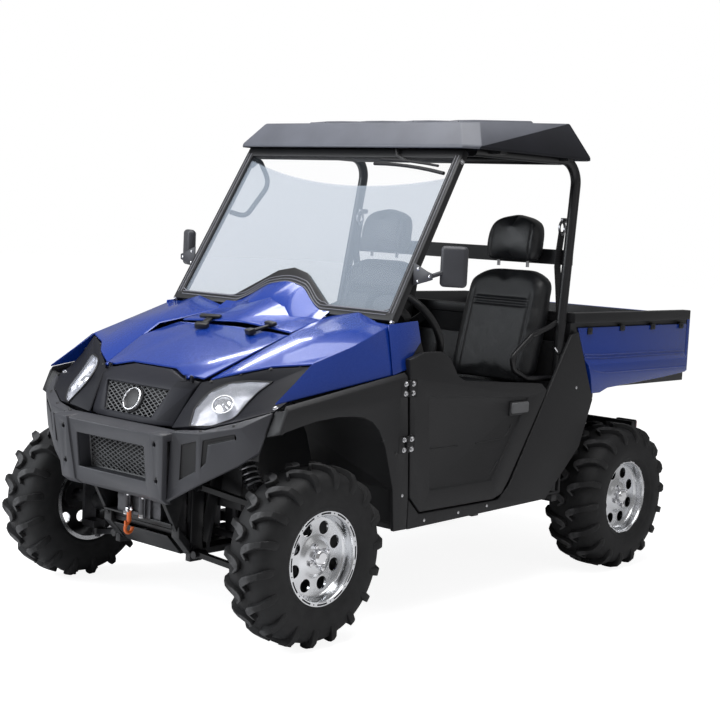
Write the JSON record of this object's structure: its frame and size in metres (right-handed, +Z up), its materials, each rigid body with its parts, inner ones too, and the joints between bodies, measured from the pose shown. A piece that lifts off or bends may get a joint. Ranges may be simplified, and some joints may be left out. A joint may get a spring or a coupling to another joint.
{
  "type": "side by side utv",
  "caption": "Two-seat side by side utility vehicle with a roof and windshield, half doors, a front winch bumper and a tipping cargo bed with a tailgate.",
  "frame": {"origin": "centre of the footprint's box on the ground", "axes": "+X towards the vehicle's left, +Y towards its tail, +Z up"},
  "size_m": [1.552, 2.86, 1.9071],
  "materials": {
    "frame_black": "satin black powder coat",
    "body_blue": "glossy metallic blue",
    "panel_black": "fine textured black",
    "fascia_grey": "matte dark grey",
    "roof_grey": "textured dark grey",
    "tyre_black": "moulded rubber",
    "rim_silver": "bright machined",
    "bare_steel": "plain steel",
    "cast_metal": "as cast",
    "seat_black": "grained vinyl",
    "trim_black": "moulded black",
    "chrome_bright": "polished",
    "lamp_clear": "clear moulded lens",
    "lamp_red": "red lens",
    "screen_glass": "tinted clear",
    "mesh_black": "satin black",
    "hook_orange": "orange"
  },
  "bodies": {
    "chassis": {"main_frame": "frame_black", "hitch_tongue": "frame_black", "skid_plate": "frame_black", "engine_block": "cast_metal", "final_drives": "cast_metal", "muffler": "bare_steel", "suspension_arms": "frame_black", "shock_absorbers": "frame_black", "rear_hubs": "cast_metal", "half_shafts": "trim_black", "floor_pan": "panel_black", "seat_platform": "trim_black", "seat_cushions": "seat_black", "seat_backs": "seat_black", "headrests": "seat_black", "headrest_posts": "chrome_bright", "dashboard": "trim_black", "roll_cage": "frame_black", "windshield_frame": "trim_black", "windshield_glass": "screen_glass", "roof": "roof_grey", "mirrors": "trim_black", "side_panels": "panel_black", "front_fenders": "panel_black", "front_cowl": "body_blue", "front_fascia": "fascia_grey", "headlamps": "lamp_clear", "grille_mesh": "mesh_black", "front_bumper": "fascia_grey", "winch": "cast_metal", "winch_hook": "hook_orange", "tail_lamps": "lamp_red"},
    "hood": {"hood_lid": "body_blue"},
    "left_door": {"door_left": "panel_black"},
    "right_door": {"door_right": "panel_black"},
    "steering": {"steering_wheel": "trim_black"},
    "bed": {"bed_tub": "trim_black", "bed_sides": "body_blue"},
    "gate": {"tailgate": "body_blue"},
    "left_knuckle": {"knuckle_front_left": "cast_metal"},
    "right_knuckle": {"knuckle_front_right": "cast_metal"},
    "front_left_wheel": {"rim_front_left": "rim_silver", "tyre_front_left": "tyre_black"},
    "front_right_wheel": {"rim_front_right": "rim_silver", "tyre_front_right": "tyre_black"},
    "rear_left_wheel": {"rim_rear_left": "rim_silver", "tyre_rear_left": "tyre_black"},
    "rear_right_wheel": {"rim_rear_right": "rim_silver", "tyre_rear_right": "tyre_black"}
  },
  "joints": [
    {"name": "steering_turn", "type": "hinge", "parent": "chassis", "child": "steering", "pos_m": [0.362, -0.28, 1.052], "axis": [0, 0.848, 0.5299], "range_deg": [-270, 270]},
    {"name": "left_steer", "type": "hinge", "parent": "chassis", "child": "left_knuckle", "pos_m": [0.508, -1.055, 0.3175], "axis": [0, 0, 1], "range_deg": [-30, 30]},
    {"name": "right_steer", "type": "hinge", "parent": "chassis", "child": "right_knuckle", "pos_m": [-0.508, -1.055, 0.3175], "axis": [0, 0, 1], "range_deg": [-30, 30]},
    {"name": "front_left_spin", "type": "hinge", "parent": "left_knuckle", "child": "front_left_wheel", "pos_m": [0.634, -1.055, 0.3175], "axis": [1, 0, 0], "continuous": true},
    {"name": "front_right_spin", "type": "hinge", "parent": "right_knuckle", "child": "front_right_wheel", "pos_m": [-0.634, -1.055, 0.3175], "axis": [1, 0, 0], "continuous": true},
    {"name": "rear_left_spin", "type": "hinge", "parent": "chassis", "child": "rear_left_wheel", "pos_m": [0.594, 0.875, 0.3175], "axis": [1, 0, 0], "continuous": true},
    {"name": "rear_right_spin", "type": "hinge", "parent": "chassis", "child": "rear_right_wheel", "pos_m": [-0.594, 0.875, 0.3175], "axis": [1, 0, 0], "continuous": true},
    {"name": "left_door_hinge", "type": "hinge", "parent": "chassis", "child": "left_door", "pos_m": [0.667, -0.582, 0.69], "axis": [0, 0, -1], "range_deg": [0, 70]},
    {"name": "right_door_hinge", "type": "hinge", "parent": "chassis", "child": "right_door", "pos_m": [-0.667, -0.582, 0.69], "axis": [0, 0, 1], "range_deg": [0, 70]},
    {"name": "hood_hinge", "type": "hinge", "parent": "chassis", "child": "hood", "pos_m": [0, -1.251, 0.893], "axis": [1, 0, 0], "range_deg": [0, 75]},
    {"name": "bed_tilt", "type": "hinge", "parent": "chassis", "child": "bed", "pos_m": [0, 1.19, 0.752], "axis": [-1, 0, 0], "range_deg": [0, 45]},
    {"name": "gate_hinge", "type": "hinge", "parent": "bed", "child": "gate", "pos_m": [0, 1.4, 0.842], "axis": [-1, 0, 0], "range_deg": [0, 90]}
  ],
  "couplings": [
    {"joint": "left_steer", "follows": "steering_turn", "ratio": 0.1111},
    {"joint": "right_steer", "follows": "steering_turn", "ratio": 0.1111}
  ]
}
